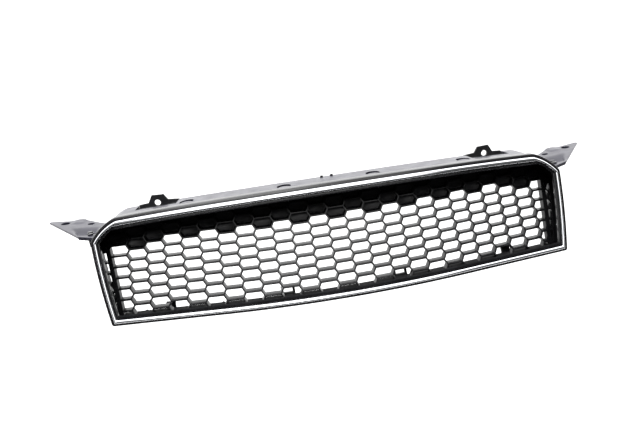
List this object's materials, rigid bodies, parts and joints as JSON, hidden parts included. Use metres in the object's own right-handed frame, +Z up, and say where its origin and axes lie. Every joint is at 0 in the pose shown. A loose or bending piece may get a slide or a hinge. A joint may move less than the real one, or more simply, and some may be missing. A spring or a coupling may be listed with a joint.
{
  "type": "front grille",
  "caption": "Raked, bowed vehicle front grille: chromed surround, elongated honeycomb insert, upper shelf, side wings and upright fixing ears.",
  "frame": {"origin": "halfway between the fixing holes of the two upright ears, on the ears' middle plane", "axes": "+X the width, towards the object's own left when it faces -Y; -Y the front; +Z up"},
  "size_m": [0.8082, 0.1811, 0.1503],
  "materials": {
    "chrome": "mirror plated",
    "black_gloss": "semi-gloss moulded",
    "black_satin": "satin moulded, fine grain",
    "shelf_satin": "satin moulded, fine grain",
    "ear_satin": "satin moulded",
    "rubber": "matt",
    "zinc": "zinc plated",
    "black_zinc": "black passivated"
  },
  "bodies": {
    "root": {"chrome_surround": "chrome", "bezel_frame": "black_gloss", "housing": "black_satin", "honeycomb_insert": "black_satin", "upper_shelf": "shelf_satin", "left_wing": "shelf_satin", "right_wing": "shelf_satin", "left_ear": "ear_satin", "right_ear": "ear_satin", "shelf_clips": "shelf_satin", "shelf_buffers": "rubber", "left_outer_hook": "black_satin", "right_outer_hook": "black_satin", "left_inner_loop": "black_satin", "right_inner_loop": "black_satin", "surround_screws": "zinc", "insert_screws": "zinc", "left_wing_screws": "black_zinc", "right_wing_screws": "black_zinc", "left_ear_screws": "zinc", "right_ear_screws": "zinc"}
  },
  "joints": []
}
